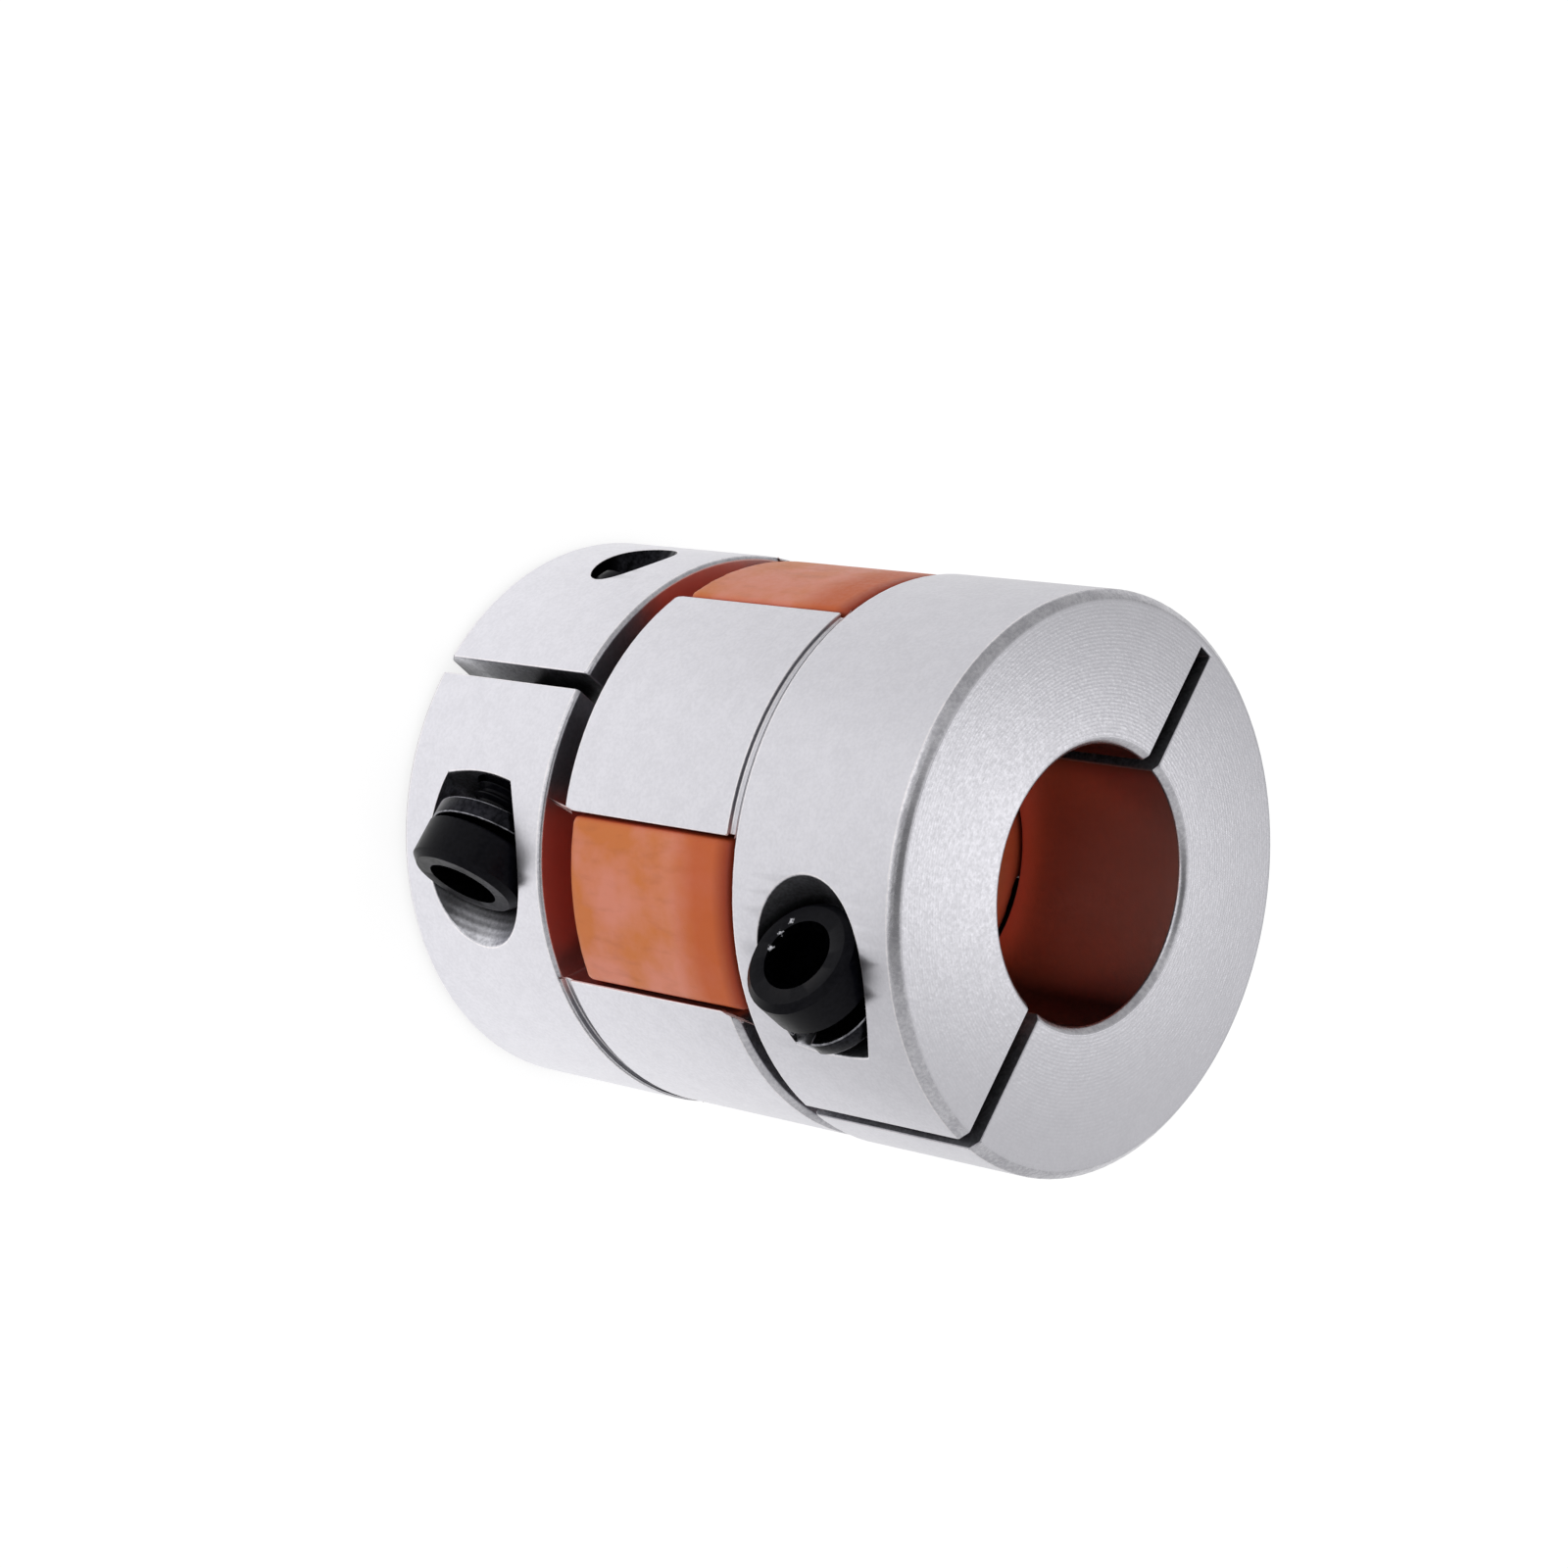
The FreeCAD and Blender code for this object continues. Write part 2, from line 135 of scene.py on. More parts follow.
def aluminium(name, light, dark, roughness, grit, marks=None, pitch=0.0, depth=0.0, crevice=0.6,
              shade=(0.25, 0.75, 0.12), painted_glow=None, painted_glow_mask=None):
    """Machined aluminium with the tool's marks, a fine grain and faint clouds.

    Grit and depth are the heights of grain and marks in mm. Shade is painted: the colour is
    darkened where the metal is hemmed in within a crevice, and shade holds the two degrees of
    openness between which it brightens, and the tone at the darker one. The function
    painted_glow_mask says where the tint painted_glow lies, a painted reflection of the cushion's
    red glow.
    """
    material, tree, place = new_material(name)
    clouds = put(tree, "TexNoise", {"Vector": place, "Scale": 1 / (0.9 * MM), "Detail": 5.0})
    grain = put(tree, "TexNoise", {"Vector": place, "Scale": 1 / (0.16 * MM), "Detail": 2.0})
    grain = grain.outputs[0]
    mottle = put(tree, "Mix", {FACTOR: 0.6, NUMBER_A: clouds.outputs[0], NUMBER_B: grain})
    share = put(tree, "MapRange", {VALUE: mottle.outputs[0], FROM_LOW: 0.38, FROM_HIGH: 0.62})
    colour = put(tree, "Mix", {FACTOR: share.outputs[0], COLOUR_A: linear(dark),
                               COLOUR_B: linear(light)}, data_type="RGBA").outputs[MIXED_COLOUR]
    # Painted shade: the colour darkens where the metal is hemmed in.
    hemmed = put(tree, "AmbientOcclusion", {"Distance": crevice * MM}, samples=8).outputs["AO"]
    open_air = put(tree, "MapRange", {VALUE: hemmed, FROM_LOW: shade[0], FROM_HIGH: shade[1],
                                      TO_LOW: shade[2], TO_HIGH: 1.0}).outputs[0]
    colour = put(tree, "VectorMath", {0: colour, "Scale": open_air}, operation="SCALE").outputs[0]
    # Painted reflection: the cushion's red glow, tinted in where the mask says.
    if painted_glow:
        colour = put(tree, "Mix", {FACTOR: painted_glow_mask(tree, place), COLOUR_A: colour,
                                   COLOUR_B: linear(painted_glow)},
                     data_type="RGBA").outputs[MIXED_COLOUR]
    gloss = put(tree, "MapRange", {VALUE: grain, FROM_LOW: 0.3, FROM_HIGH: 0.7,
                                   TO_LOW: roughness + 0.02, TO_HIGH: roughness - 0.02})
    height = put(tree, "Math", {0: grain, 1: grit}, operation="MULTIPLY").outputs[0]
    if marks:
        bands = put(tree, "TexWave", {
            "Vector": place, "Scale": math.pi / 10 / (pitch * MM), "Distortion": 0.4,
            "Detail": 1.0, "Detail Scale": 2.0}, **marks).outputs["Fac"]
        bands = put(tree, "Math", {0: bands, 1: depth}, operation="MULTIPLY").outputs[0]
        height = put(tree, "Math", {0: height, 1: bands}, operation="ADD").outputs[0]
    normal = put(tree, "Bump", {"Height": height, "Distance": MM, "Strength": 1.0}).outputs[0]
    shader = put(tree, "BsdfPrincipled", {"Base Color": colour, "Metallic": 1.0,
                                          "Roughness": gloss.outputs[0], "Normal": normal})
    put(tree, "OutputMaterial", {"Surface": shader.outputs[0]})
    return material


# The turning marks are drawn at about twice their real pitch, which would be too fine to show.
ROUND_MARKS = {"wave_type": "RINGS", "rings_direction": "Z"}
LEVEL_MARKS = {"wave_type": "BANDS", "bands_direction": "Z"}
CROSS_MARKS = {"wave_type": "BANDS", "bands_direction": "X"}
hub_finishes = [
    # Even, pale and satin, with hardly a mark.
    aluminium("satin_turned_aluminium_rim", light="E2E1E7", dark="DAD9DF", roughness=0.34,
              grit=0.0015, marks=LEVEL_MARKS, pitch=0.16, depth=0.0005),
    # Smoother than the rim, with faint rings and a fine sparkle.
    aluminium("faced_aluminium_end", light="DEDDE3", dark="D8D7DD", roughness=0.2,
              grit=0.003, marks=ROUND_MARKS, pitch=0.16, depth=0.0005),
    # Dark, a painted shade, with a painted reflection of the cushion's red glow on one side.
    aluminium("reamed_aluminium_bore", light="342C2E", dark="2A2224", roughness=0.36,
              grit=0.0005, marks=LEVEL_MARKS, pitch=0.2, depth=0.0004,
              painted_glow="FFC2B6", painted_glow_mask=glowing_wall),
    # A bright line that changes with the light as it goes round.
    aluminium("bright_turned_aluminium_chamfer", light="DCDBE0", dark="C0BFC5", roughness=0.28,
              grit=0.004, marks=ROUND_MARKS, pitch=0.12, depth=0.0008,
              crevice=1.2, shade=(0.45, 0.95, 0.1)),
    # Greyer than the turned faces, and warm beside the cushion's legs, a painted reflection of
    # their red glow.
    aluminium("milled_aluminium_jaw", light="B6B5BB", dark="A6A5AC", roughness=0.34,
              grit=0.002, marks=LEVEL_MARKS, pitch=0.3, depth=0.0008,
              crevice=0.8, shade=(0.15, 0.7, 0.2), painted_glow="E8BAB5", painted_glow_mask=beside_legs),
    # Nearly black deep inside, a painted shade, and bright with streaks near the opening.
    aluminium("cut_aluminium_painted_shade", light="DCDCE2", dark="B0B0B6", roughness=0.32,
              grit=0.001, marks=CROSS_MARKS, pitch=0.4, depth=0.004,
              crevice=1.5, shade=(0.15, 0.42, 0.008)),
    # Black, a painted shade for the deep hole, with the thread's turns just visible.
    aluminium("tapped_thread_painted_dark", light="26262A", dark="0C0C0E", roughness=0.3,
              grit=0.003, marks=LEVEL_MARKS, pitch=0.5, depth=0.02,
              crevice=1.5, shade=(0.3, 0.9, 0.1)),
    # A thin light outline on the broken edges: the bevel is real, its brighter colour a painted
    # highlight.
    aluminium("filed_aluminium_edge_painted_highlight", light="F6F2F4", dark="E6E4E8", roughness=0.42,
              grit=0.001, crevice=0.4, shade=(0.3, 0.8, 0.3)),
]
RIM, END, BORE, CHAMFER, MILLED, CUT, TAPPED, EDGE = range(len(hub_finishes))


def finish_of(face, outer_face, on_axis, along):
    """The finish that a hub's face gets from the tool that cut it."""
    middle, normal = face.calc_center_median() / MM, face.normal
    radius = middle.xy.length
    outward = middle.xy.normalized().dot(normal.xy)
    depth = abs(middle.z - outer_face)
    across = middle - on_axis
    down_screw = across.dot(along)
    aside = (across - along * down_screw).length
    square_to_screw = abs(normal.dot(along)) > SQUARE
    if abs(normal.z) > SQUARE and depth < NEARLY:
        return END
    if outward > SQUARE and abs(normal.z) < 0.1 and radius > OUTSIDE_FROM:
        return RIM
    if outward < -0.98 and abs(radius - BORE_RADIUS) < 0.1:
        return BORE
    if aside < TAPPED_RADIUS + NEARLY and not square_to_screw:
        return TAPPED
    if aside < POCKET_RADIUS + NEARLY or (square_to_screw and abs(down_screw) < HALF_SLIT + 0.02):
        return CUT
    if abs(normal.z) > SQUARE and depth > TIPS_FROM:
        return CUT
    slanted = 0.5 < abs(normal.z) < 0.9 and abs(outward) > 0.5
    if slanted and (radius > CHAMFER_FROM or radius < BORE_CHAMFER_TO):
        return CHAMFER
    return MILLED


for node, cut in HUBS.items():
    solid = bmesh.new()
    solid.from_mesh(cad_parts[node].data)
    bmesh.ops.remove_doubles(solid, verts=solid.verts, dist=FACET_GAP * MM)
    bmesh.ops.dissolve_degenerate(solid, edges=solid.edges, dist=SLIVER * MM)
    bmesh.ops.dissolve_limit(solid, angle_limit=FLAT, verts=solid.verts, edges=solid.edges)
    filed = set(break_edges(solid, SHARP_CORNER, BROKEN_EDGE))
    for face in solid.faces:
        face.smooth = True
        face.material_index = finish_of(face, *cut)
    for face in filed:
        beside = {near.material_index for edge in face.edges for near in edge.link_faces
                  if near not in filed}
        if CHAMFER in beside or END in beside:
            face.material_index = CHAMFER if CHAMFER in beside else END
        # The rim's broken edges take the painted highlight.
        elif RIM in beside and CUT not in beside:
            face.material_index = EDGE
    for edge in solid.edges:
        edge.smooth = True
    hub = show(node + "_body", solid, hub_finishes)
    hub.modifiers.new("even_shading", "WEIGHTED_NORMAL").weight = 100
    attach(hub, "root")
    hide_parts(node)


# Cushion: the elastic spider between the jaws, cast in one piece from salmon coloured polyurethane.
# Its corners are soft from the mould, and its surface is satin with faint clouds. Its colour is
# painted redder where the jaws and the bore hem it in, standing in for light that has passed
# through it, and painted darker in its seams and up its legs towards the upper hub, where shade
# falls.

SHRINKAGE, BULGE = 0.16, 1.016
SKIN_MESH, CORNER_EASE, EASE_TURNS = 0.2, 0.5, 8
LEGS_FROM, LEGS_TO = 8.0, 10.0

# Satin and warm: salmon clouds over ochre, thin dark streaks, and pale corners, a painted
# highlight.
material, tree, place = new_material("cast_polyurethane")
clouds = put(tree, "TexNoise", {"Vector": place, "Scale": 1 / (3.0 * MM), "Detail": 4.0})
streaks = put(tree, "Mapping", {"Vector": place, "Scale": (1.0, 1.0, 0.35)}).outputs[0]
streaks = put(tree, "TexNoise", {"Vector": streaks, "Scale": 1 / (0.5 * MM), "Detail": 4.0})
grain = put(tree, "TexNoise", {"Vector": place, "Scale": 1 / (0.25 * MM), "Detail": 2.0})
corner_highlight = put(tree, "NewGeometry").outputs["Pointiness"]
colour = linear("CC7640")
for pattern, low, high, most, tint in (
        (clouds.outputs[0], 0.4, 0.62, 1.0, "D6866E"),
        (streaks.outputs[0], 0.52, 0.75, 0.28, "A85A3C"),
        (corner_highlight, 0.52, 0.58, 0.4, "F2BCA4")):
    share = put(tree, "MapRange", {VALUE: pattern, FROM_LOW: low, FROM_HIGH: high, TO_HIGH: most})
    colour = put(tree, "Mix", {FACTOR: share.outputs[0], COLOUR_A: colour, COLOUR_B: linear(tint)},
                 data_type="RGBA").outputs[MIXED_COLOUR]

# Painted light and shade: redder where it is hemmed in, as if lit through, and a painted shade,
# darker and redder, up the legs towards the upper hub.
lift = put(tree, "SeparateXYZ", {0: place}).outputs["Z"]
outer = put(tree, "VectorMath", {0: place, 1: (1, 1, 0)}, operation="MULTIPLY").outputs["Vector"]
outer = put(tree, "VectorMath", {0: outer}, operation="LENGTH").outputs["Value"]
outer = put(tree, "MapRange", {VALUE: outer, FROM_LOW: LEGS_FROM * MM, FROM_HIGH: LEGS_TO * MM})
hemmed = put(tree, "AmbientOcclusion", {"Distance": 3.0 * MM}, samples=8).outputs["AO"]
open_air = put(tree, "MapRange", {VALUE: hemmed, FROM_LOW: 0.35, FROM_HIGH: 0.95})
colour = put(tree, "Mix", {FACTOR: open_air.outputs[0], COLOUR_A: linear("EA5E40"),
                           COLOUR_B: colour}, data_type="RGBA").outputs[MIXED_COLOUR]
for low, high, most, tint in ((17.0, 18.6, 0.8, "BE5624"), (19.6, 20.5, 0.95, "862A12")):
    hub_shade = put(tree, "MapRange", {VALUE: lift, FROM_LOW: low * MM, FROM_HIGH: high * MM,
                                     TO_HIGH: most}).outputs[0]
    hub_shade = put(tree, "Math", {0: hub_shade, 1: outer.outputs[0]}, operation="MULTIPLY")
    colour = put(tree, "Mix", {FACTOR: hub_shade.outputs[0], COLOUR_A: colour,
                               COLOUR_B: linear(tint)}, data_type="RGBA").outputs[MIXED_COLOUR]
# Painted shade: dark brown close in along the seams beside the jaws.
hemmed = put(tree, "AmbientOcclusion", {"Distance": 0.7 * MM}, samples=8).outputs["AO"]
open_air = put(tree, "MapRange", {VALUE: hemmed, FROM_LOW: 0.35, FROM_HIGH: 0.85, TO_LOW: 0.25})
colour = put(tree, "Mix", {FACTOR: open_air.outputs[0], COLOUR_A: linear("6A2814"),
                           COLOUR_B: colour}, data_type="RGBA").outputs[MIXED_COLOUR]
gloss = put(tree, "MapRange", {VALUE: grain.outputs[0], FROM_LOW: 0.3, FROM_HIGH: 0.7,
                               TO_LOW: 0.4, TO_HIGH: 0.52}).outputs[0]
normal = put(tree, "Bump", {"Height": grain.outputs[0], "Distance": 0.004 * MM}).outputs[0]
shader = put(tree, "BsdfPrincipled", {
    "Base Color": colour, "Roughness": gloss, "Normal": normal, "Specular IOR Level": 0.25,
    "Subsurface Weight": 0.15, "Subsurface Scale": 0.6 * MM,
    "Subsurface Radius": (1.0, 0.45, 0.25)})
put(tree, "OutputMaterial", {"Surface": shader.outputs[0]})

solid = bmesh.new()
solid.from_mesh(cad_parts["cushion"].data)
bmesh.ops.remove_doubles(solid, verts=solid.verts, dist=0.005 * MM)
bmesh.ops.scale(solid, verts=solid.verts, vec=(BULGE, BULGE, 1))
spider = show("spider_cushion", solid, [material])
skin = spider.modifiers.new("mould_skin", "REMESH")
skin.mode, skin.voxel_size, skin.use_smooth_shade = "VOXEL", SKIN_MESH * MM, True
ease = spider.modifiers.new("soft_corners", "SMOOTH")
ease.factor, ease.iterations = CORNER_EASE, EASE_TURNS
shrink = spider.modifiers.new("shrunk_in_the_mould", "DISPLACE")
shrink.strength, shrink.mid_level = -SHRINKAGE * MM, 0.0
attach(spider, "root")
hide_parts("cushion")


# Clamp screws: low socket head screws of blackened steel, turned, with a broached hexagon and a
# rolled thread. Each is drawn with its head's underside at z = 0 and then put through its hub.

HEAD_RADIUS, HEAD_HEIGHT, HEAD_EDGE, HEAD_FOOT = 2.6, 2.0, 0.3, 0.1
MOUTH_RADIUS, MOUTH_DEPTH = 1.6, 0.2
HEXAGON_CORNER, HEXAGON_DEPTH, HEXAGON_CONE = 1.443, 1.1, 0.35
THREAD_RADIUS, THREAD_ROOT, THREAD_PITCH, SUNK = 1.45, 1.2, 0.5, 0.05
SHANK, PLAIN_NECK, PLAIN_LENGTH, TIP_CHAMFER, TIP_STEP = 14.0, 0.3, 1.3, 0.4, 0.2
TURN_STEPS, THREAD_STEPS, CRISP_CORNER = 48, 24, math.radians(35)
SCREW_PLACE = {
    "upper_clamp_screw": (Vector((9.43, -7.15, 25.15)), "X"),
    "lower_clamp_screw": (Vector((7.15, -9.43, 4.85)), "Y"),
}
GLINT_SPOTS = [Vector((9.33, -9.15, 23.6)), Vector((8.6, -9.15, 23.75)), Vector((8.0, -9.15, 24.0))]


def steel(name, dark, light, gloss, look, glints=()):
    """Steel with a fine grain. Gloss holds its two roughnesses, glints the spots of painted
    highlights.
    """
    material, tree, place = new_material(name)
    grain = put(tree, "TexNoise", {"Vector": place, "Scale": 1 / (0.2 * MM), "Detail": 3.0})
    grain = grain.outputs[0]
    share = put(tree, "MapRange", {VALUE: grain, FROM_LOW: 0.35, FROM_HIGH: 0.65})
    colour = put(tree, "Mix", {FACTOR: share.outputs[0], COLOUR_A: linear(dark),
                               COLOUR_B: linear(light)}, data_type="RGBA").outputs[MIXED_COLOUR]
    # Painted highlights: small bright glints, ragged at the edge, at the listed spots.
    for glint in glints:
        away = put(tree, "VectorMath", {0: place, 1: glint * MM}, operation="DISTANCE")
        ragged = put(tree, "TexNoise", {"Vector": place, "Scale": 1 / (0.15 * MM)}).outputs[0]
        away = put(tree, "Math", {0: ragged, 1: 0.5 * MM, 2: away.outputs["Value"]},
                   operation="MULTIPLY_ADD").outputs[0]
        glint_share = put(tree, "MapRange", {VALUE: away, FROM_LOW: 0.38 * MM, FROM_HIGH: 0.28 * MM})
        colour = put(tree, "Mix", {FACTOR: glint_share.outputs[0], COLOUR_A: colour,
                                   COLOUR_B: linear("C8C8CE")},
                     data_type="RGBA").outputs[MIXED_COLOUR]
    gloss = put(tree, "MapRange", {VALUE: grain, FROM_LOW: 0.3, FROM_HIGH: 0.7,
                                   TO_LOW: gloss[0], TO_HIGH: gloss[1]}).outputs[0]
    normal = put(tree, "Bump", {"Height": grain, "Distance": 0.002 * MM}).outputs[0]
    shader = put(tree, "BsdfPrincipled", {"Base Color": colour, "Roughness": gloss,
                                          "Normal": normal, **look})
    put(tree, "OutputMaterial", {"Surface": shader.outputs[0]})
    return material


screw_finishes = [
    # Matt and nearly black, with three painted highlights, small glints on the upper socket's lip.
    steel("black_oxide_steel", "05050A", "0D0D12", (0.3, 0.4), {"Specular IOR Level": 0.085},
          GLINT_SPOTS),
    # Fully black: a painted shade for the deep socket.
    steel("socket_steel_painted_shade", "000000", "020203", (0.3, 0.4), {"Specular IOR Level": 0.0},
          GLINT_SPOTS),
]


def turned(solid, profile):
    """Spins a profile of radius and height round z into a closed surface."""
    corners = [solid.verts.new((radius, 0, height)) for radius, height in profile]
    edges = [solid.edges.new(pair) for pair in zip(corners, corners[1:])]
    bmesh.ops.spin(solid, geom=corners + edges, axis=(0, 0, 1), cent=(0, 0, 0),
                   angle=2 * math.pi, steps=TURN_STEPS, use_merge=True)


def ring(solid, sides, radius, height):
    """The edges of a level ring with that many sides."""
    corners = bmesh.ops.create_circle(solid, segments=sides, radius=radius)["verts"]
    bmesh.ops.translate(solid, verts=corners, vec=(0, 0, height))
    return list(dict.fromkeys(edge for corner in corners for edge in corner.link_edges))


def of_kind(items, kind):
    """Those of a list of bmesh parts that are verts or edges."""
    return [item for item in items if isinstance(item, kind)]


for node, (seat, turn_about) in SCREW_PLACE.items():
    solid = bmesh.new()
    turned(solid, [
        (MOUTH_RADIUS, HEAD_HEIGHT), (HEAD_RADIUS - HEAD_EDGE, HEAD_HEIGHT),
        (HEAD_RADIUS, HEAD_HEIGHT - HEAD_EDGE), (HEAD_RADIUS, HEAD_FOOT),
        (HEAD_RADIUS - HEAD_FOOT, 0.0), (THREAD_RADIUS, 0.0), (THREAD_ROOT, -PLAIN_NECK),
        (THREAD_ROOT, TIP_CHAMFER - SHANK), (THREAD_ROOT - TIP_STEP, -SHANK), (0.0, -SHANK)])
    lip = ring(solid, TURN_STEPS, MOUTH_RADIUS, HEAD_HEIGHT)
    hexagon = ring(solid, 6, HEXAGON_CORNER, HEAD_HEIGHT - MOUTH_DEPTH)
    hexagon = bmesh.ops.subdivide_edges(solid, edges=hexagon, cuts=TURN_STEPS // 6 - 1)["geom"]
    hexagon = of_kind(hexagon, bmesh.types.BMEdge)
    bmesh.ops.bridge_loops(solid, edges=lip + hexagon)
    wall = bmesh.ops.extrude_edge_only(solid, edges=hexagon)["geom"]
    bmesh.ops.translate(solid, verts=of_kind(wall, bmesh.types.BMVert),
                        vec=(0, 0, MOUTH_DEPTH - HEXAGON_DEPTH))
    open_edges = [e for e in of_kind(wall, bmesh.types.BMEdge) if e.is_boundary]
    floor = bmesh.ops.extrude_edge_only(solid, edges=open_edges)["geom"]
    floor = of_kind(floor, bmesh.types.BMVert)
    bmesh.ops.scale(solid, verts=floor, vec=(0.001, 0.001, 1))
    bmesh.ops.translate(solid, verts=floor, vec=(0, 0, -HEXAGON_CONE))
    bmesh.ops.remove_doubles(solid, verts=solid.verts, dist=0.01)
    ridge = solid.faces.new([solid.verts.new((radius, 0, height)) for radius, height in (
        (THREAD_ROOT - SUNK, -0.3), (THREAD_RADIUS, -0.5), (THREAD_RADIUS, -0.56),
        (THREAD_ROOT - SUNK, -0.76))])
    turns = int((SHANK - PLAIN_LENGTH) / THREAD_PITCH)
    bmesh.ops.spin(solid, geom=[ridge], axis=(0, 0, 1), cent=(0, 0, 0),
                   dvec=(0, 0, -THREAD_PITCH / THREAD_STEPS), angle=turns * 2 * math.pi,
                   steps=THREAD_STEPS * turns)
    bmesh.ops.recalc_face_normals(solid, faces=solid.faces)
    for face in solid.faces:
        middle = face.calc_center_median()
        face.smooth = True
        face.material_index = (middle.z > HEAD_HEIGHT - HEXAGON_DEPTH - HEXAGON_CONE and
                               middle.xy.length < MOUTH_RADIUS - 0.02)
    for edge in solid.edges:
        edge.smooth = edge.is_manifold and edge.calc_face_angle(0) < CRISP_CORNER
    place = Matrix.Translation(seat) @ Matrix.Rotation(math.pi / 2, 4, turn_about)
    bmesh.ops.transform(solid, matrix=Matrix.Scale(MM, 4) @ place, verts=solid.verts)
    screw = show(node + "_body", solid, screw_finishes)
    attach(screw, "root")
    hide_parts(node)


# Lock washers: a turn of square spring steel wire under each head, hardened and oiled, its ends
# sprung apart because the screws aren't tight yet. The wire's broken edges carry a painted
# highlight.

WIRE_CORNER, WIRE_EDGE_BREAK = math.radians(50), 0.06

washer_finishes = [
    # Dark grey, with a dull shine.
    steel("oiled_spring_steel", "17171B", "2B2B30", (0.24, 0.36), {"Metallic": 1.0}),
    # Painted highlight: bright lines along the wire's broken edges.
    steel("spring_steel_edge_painted_highlight", "606066", "A6A6AC", (0.28, 0.4), {"Metallic": 1.0}),
]
OILED, HIGHLIT_EDGE = range(len(washer_finishes))
for node in ("upper_lock_washer", "lower_lock_washer"):
    solid = bmesh.new()
    solid.from_mesh(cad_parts[node].data)
    bmesh.ops.remove_doubles(solid, verts=solid.verts, dist=0.002 * MM)
    # The broken edges get the painted highlight.
    highlit_edges = break_edges(solid, WIRE_CORNER, WIRE_EDGE_BREAK)
    for face in solid.faces:
        face.smooth, face.material_index = True, OILED
    for face in highlit_edges:
        face.material_index = HIGHLIT_EDGE
    for edge in solid.edges:
        edge.smooth = True
    washer = show(node + "_body", solid, washer_finishes)
    washer.modifiers.new("even_shading", "WEIGHTED_NORMAL").weight = 100
    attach(washer, "root")
    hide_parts(node)


# Studio: a white floor and background, soft lamps, and the photograph's camera. Floor and world
# light the coupling evenly, but the metal mirrors them darker, as it did the photographer's room.

FLOOR_RADIUS = 3.0
TO_CAMERA = Vector((0.320647, -0.652892, 0.686234))
CAMERA_RIGHT = Vector((-0.429996, 0.545198, 0.719627))
CAMERA_UP = Vector((-0.843972, -0.525824, -0.105925))
CAMERA_PLACE = Vector((56.3264, -120.0247, 136.4611))
FILM_WIDTH, FOCAL_LENGTH = 36.0, 92.754
AIM = Vector((0, 0, 15))


def mirrored_ray(tree, path):
    """1 for a ray that a shiny or a clear surface sends on, and 0 for other rays."""
    return put(tree, "Math", {0: path["Is Glossy Ray"], 1: path["Is Transmission Ray"]},
               operation="MAXIMUM").outputs[0]


# Chalky and white. Mirrored, it fades away from the coupling, most of all to the right.
material, tree, place = new_material("white_sweep_board")
path = put(tree, "LightPath").outputs
seen = put(tree, "Math", {0: mirrored_ray(tree, path), 1: path["Is Camera Ray"]},
           operation="MAXIMUM").outputs[0]
tone = put(tree, "Mix", {FACTOR: seen, COLOUR_A: (0.8, 0.8, 0.8, 1), COLOUR_B: (0.3, 0.3, 0.3, 1)},
           data_type="RGBA").outputs[MIXED_COLOUR]
paint = put(tree, "BsdfDiffuse", {"Color": tone}).outputs[0]
# Painted reflection: the glow that shiny surfaces see falls off away from the coupling and to both
# sides.
away = put(tree, "VectorMath", {0: place}, operation="LENGTH").outputs["Value"]
pool = put(tree, "MapRange", {VALUE: away, FROM_LOW: 13 * MM, FROM_HIGH: 42 * MM,
                              TO_LOW: 0.87, TO_HIGH: 0.63}).outputs[0]
east = put(tree, "SeparateXYZ", {0: place}).outputs["X"]
for near, far, least in ((26, 42, 0.6), (-2, -22, 0.84)):
    dim = put(tree, "MapRange", {VALUE: east, FROM_LOW: near * MM, FROM_HIGH: far * MM,
                                 TO_LOW: 1.0, TO_HIGH: least},
              interpolation_type="SMOOTHSTEP").outputs[0]
    pool = put(tree, "Math", {0: pool, 1: dim}, operation="MULTIPLY").outputs[0]
glow = put(tree, "Mix", {FACTOR: path["Is Camera Ray"], NUMBER_A: pool, NUMBER_B: 0.8}).outputs[0]
glow = put(tree, "Math", {0: glow, 1: seen}, operation="MULTIPLY").outputs[0]
glow = put(tree, "Emission", {"Strength": glow}).outputs[0]
both = put(tree, "AddShader", {0: paint, 1: glow}).outputs[0]
put(tree, "OutputMaterial", {"Surface": both})

solid = bmesh.new()
bmesh.ops.create_circle(solid, cap_ends=True, segments=64, radius=FLOOR_RADIUS)
show("white_floor", solid, [material])

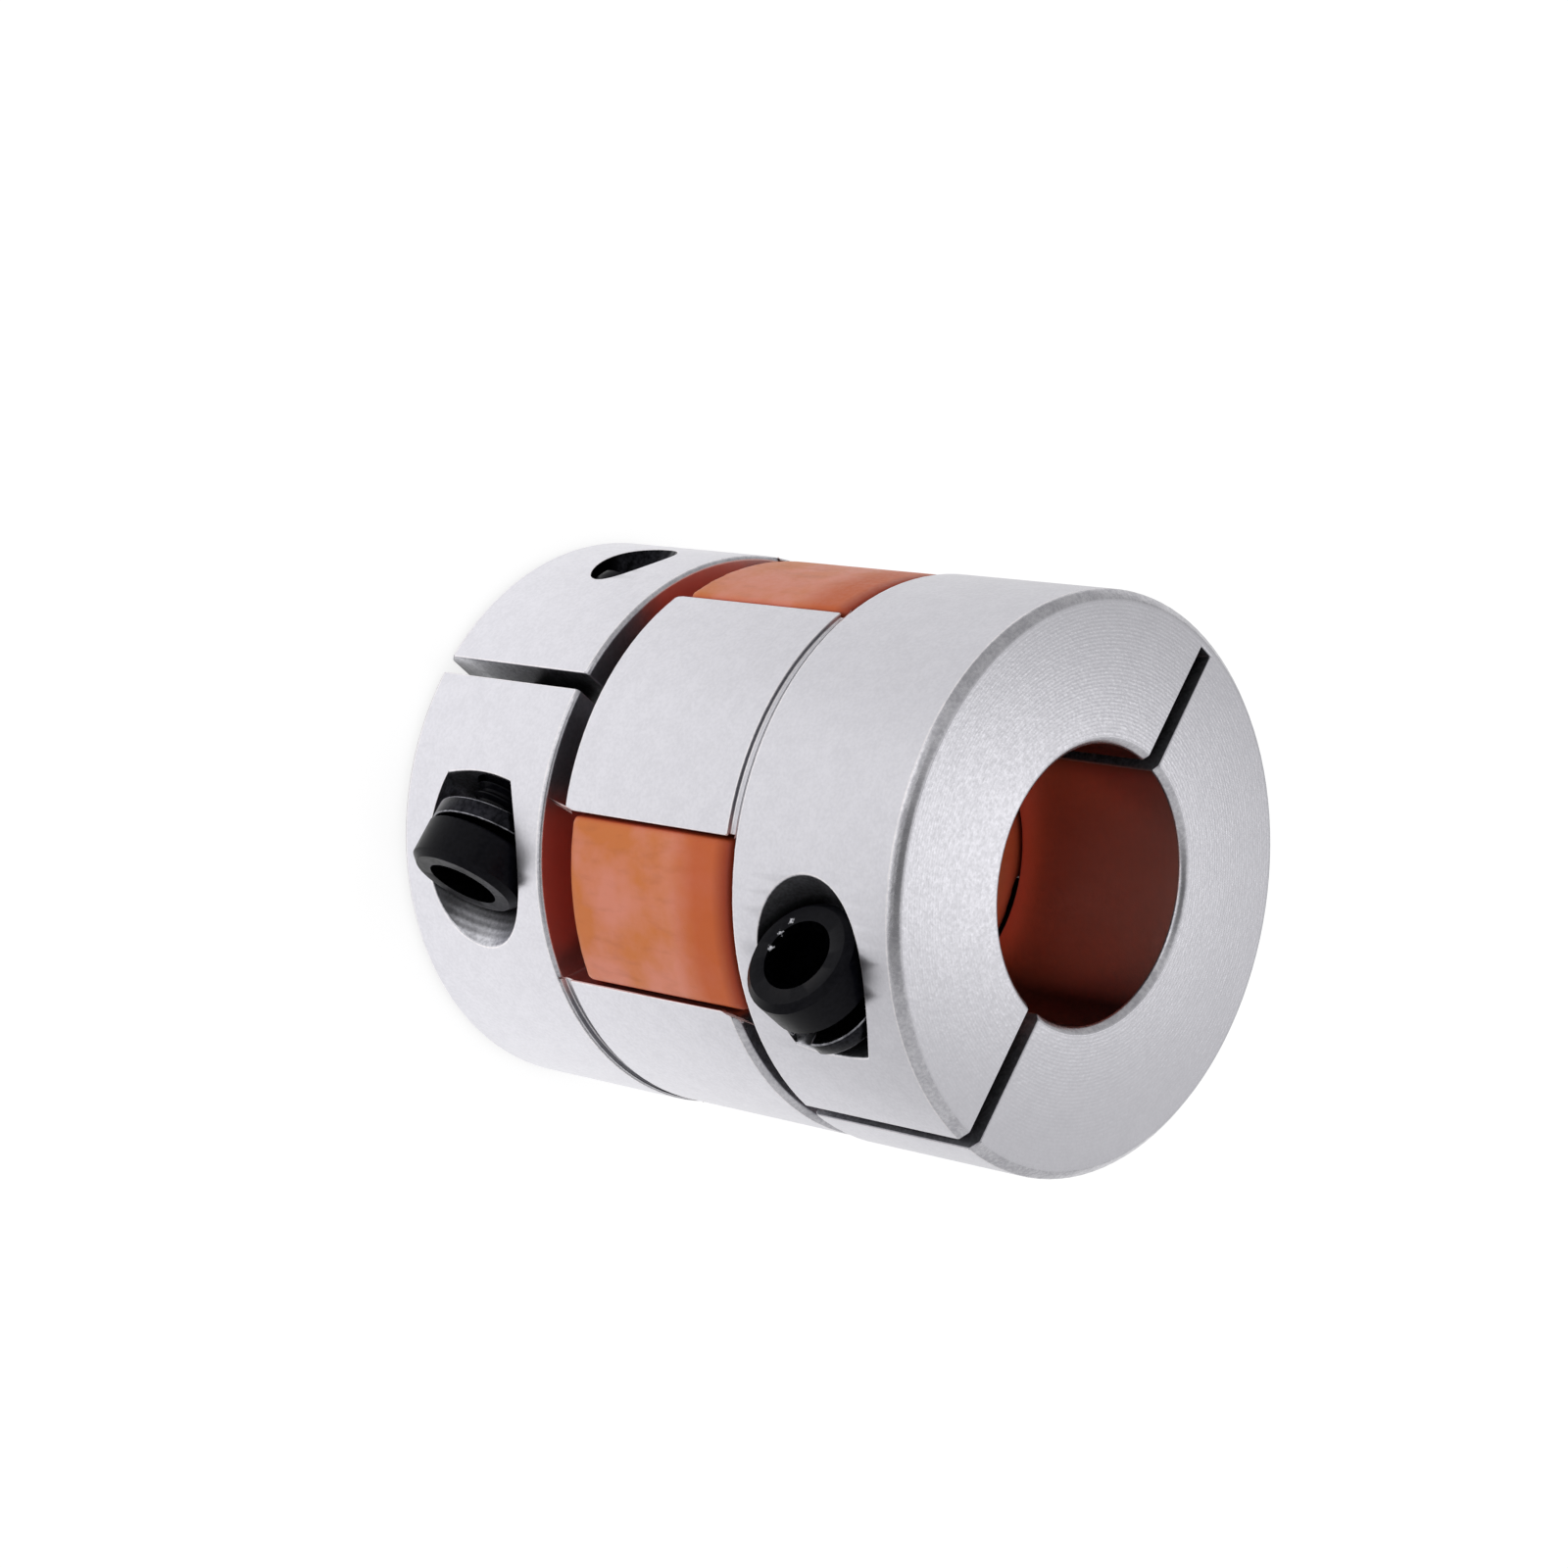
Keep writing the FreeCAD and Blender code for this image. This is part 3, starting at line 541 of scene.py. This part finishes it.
# White to the camera and as a light. The metal mirrors a room in it: nearly black round the camera,
# bright in front, and dimmer to both sides and behind.
world = bpy.data.worlds.new("white_studio")
world.use_nodes = True
bpy.context.scene.world = world
tree = world.node_tree
tree.nodes.clear()
heading = put(tree, "TexCoord").outputs["Generated"]
path = put(tree, "LightPath").outputs
facing = put(tree, "VectorMath", {0: heading, 1: TO_CAMERA}, operation="DOT_PRODUCT")
opening = put(tree, "MapRange", {VALUE: facing.outputs["Value"], FROM_LOW: 0.72, FROM_HIGH: 1.0,
                                 TO_LOW: 1.0, TO_HIGH: 0.06}).outputs[0]
heading = put(tree, "SeparateXYZ", {0: heading}).outputs
left, right, rear = [
    put(tree, "MapRange", {VALUE: heading["X"], FROM_LOW: low, FROM_HIGH: high,
                           TO_LOW: tone_low, TO_HIGH: tone_high}).outputs[0]
    for low, high, tone_low, tone_high in (
        (-0.55, -0.3, 0.55, 0.95), (-0.1, 0.7, 0.95, 0.74), (-0.39, -0.27, 0.65, 0.8))]
front = put(tree, "Math", {0: left, 1: right}, operation="MINIMUM").outputs[0]
behind = put(tree, "MapRange", {VALUE: heading["Y"], FROM_LOW: 0.0, FROM_HIGH: 0.5},
             interpolation_type="SMOOTHSTEP").outputs[0]
room = put(tree, "Mix", {FACTOR: behind, NUMBER_A: front, NUMBER_B: rear}).outputs[0]
room = put(tree, "Math", {0: opening, 1: room}, operation="MULTIPLY").outputs[0]
level = put(tree, "Mix", {FACTOR: mirrored_ray(tree, path), NUMBER_A: 1.0, NUMBER_B: room})
level = put(tree, "Mix", {FACTOR: path["Is Camera Ray"], NUMBER_A: level.outputs[0],
                          NUMBER_B: 1.0}).outputs[0]
put(tree, "OutputWorld", {"Surface": put(tree, "Background", {"Strength": level}).outputs[0]})


def lamp(name, place, size, power):
    """A soft square lamp that faces the coupling."""
    light = bpy.data.lights.new(name, "AREA")
    light.size, light.energy = size, power
    holder = bpy.data.objects.new(name, light)
    holder.location = place
    holder.rotation_mode = "QUATERNION"
    holder.rotation_quaternion = (AIM * MM - Vector(place)).to_track_quat("-Z", "Y")
    bpy.context.scene.collection.objects.link(holder)


# A broad lamp in front, which doesn't burn out the end face when that is seen from behind, and a
# small and faint one behind and above.
lamp("key_lamp", (0.12, -0.37, 0.1), size=0.48, power=0.49)
lamp("back_lamp", (-0.0975, 0.201, 0.2235), size=0.03, power=0.0036)

camera = bpy.data.objects.new("photo_camera", bpy.data.cameras.new("photo_camera"))
bpy.context.scene.collection.objects.link(camera)
camera.data.sensor_width, camera.data.lens = FILM_WIDTH, FOCAL_LENGTH
camera.data.clip_start, camera.data.clip_end = 0.01, 20.0
camera.location = CAMERA_PLACE * MM
camera.rotation_euler = Matrix((CAMERA_RIGHT, CAMERA_UP, TO_CAMERA)).transposed().to_euler()
bpy.context.scene.camera = camera
bpy.context.scene.view_settings.view_transform = "Standard"
